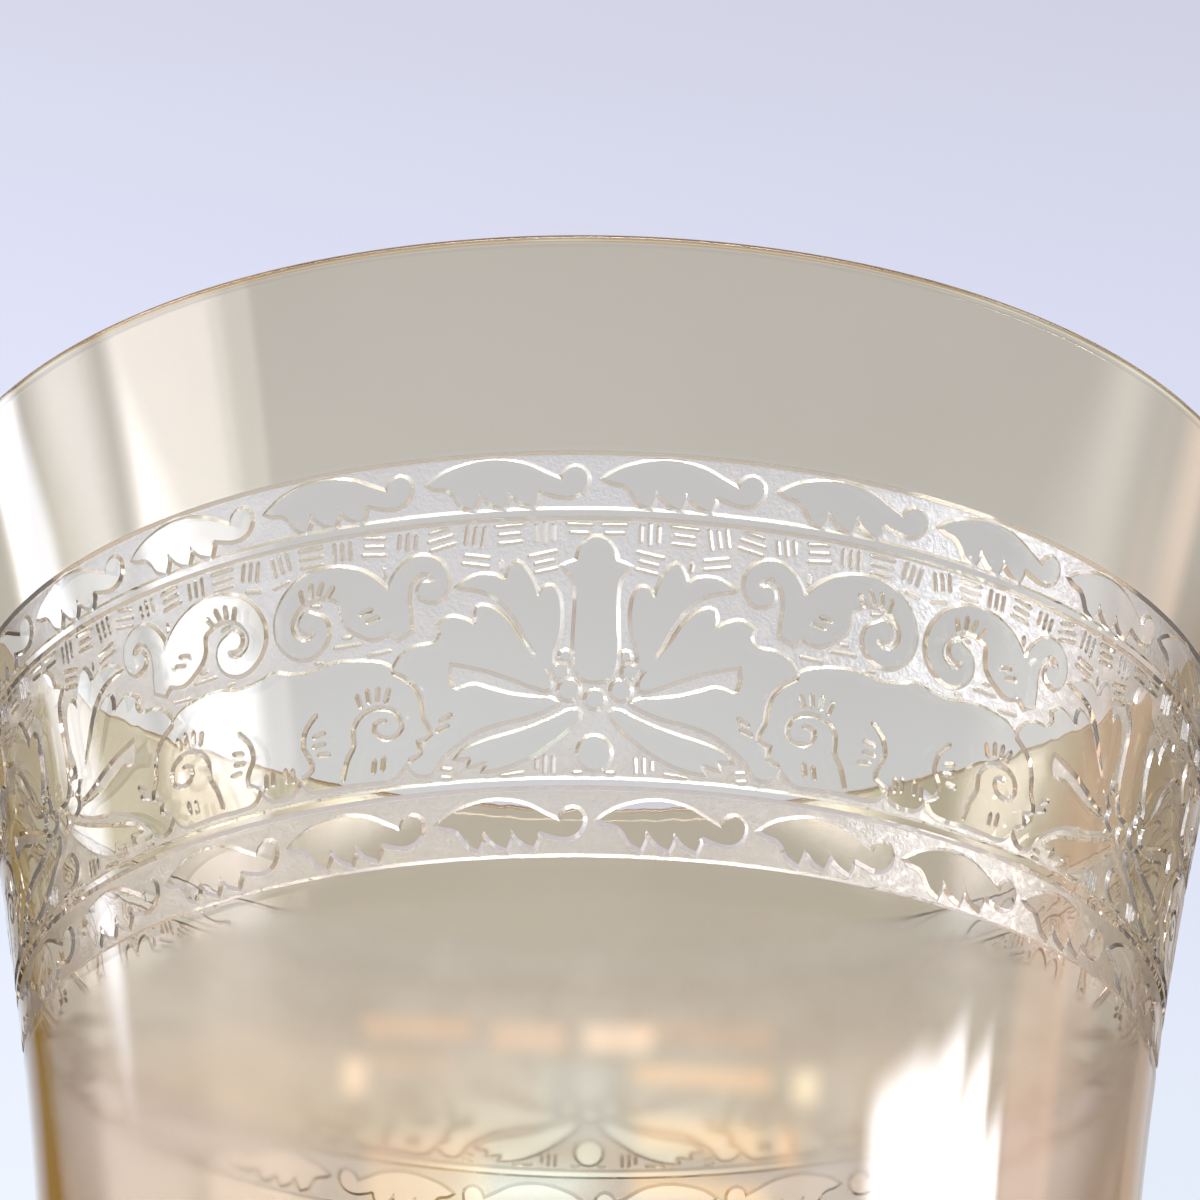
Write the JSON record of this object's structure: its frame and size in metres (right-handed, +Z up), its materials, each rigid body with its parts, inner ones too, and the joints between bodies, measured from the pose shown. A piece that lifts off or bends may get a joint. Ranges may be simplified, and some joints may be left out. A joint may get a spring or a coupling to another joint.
{
  "type": "water goblet",
  "caption": "Footed water goblet in pale amber glass: flared bowl with an etched ornamental band below the rim, on a slender knopped stem and a round foot.",
  "frame": {"origin": "middle of the foot's underside, on the surface that the goblet stands on", "axes": "+Z up along the goblet's axis, from the foot to the rim; +X and +Y are any two level directions, because every solid is turned about Z"},
  "size_m": [0.088, 0.088, 0.1972],
  "materials": {
    "amber_glass": "clear polished pale amber glass, satin where it is etched"
  },
  "bodies": {
    "root": {"bowl": "amber_glass", "merese": "amber_glass", "stem": "amber_glass", "foot": "amber_glass"}
  },
  "joints": []
}
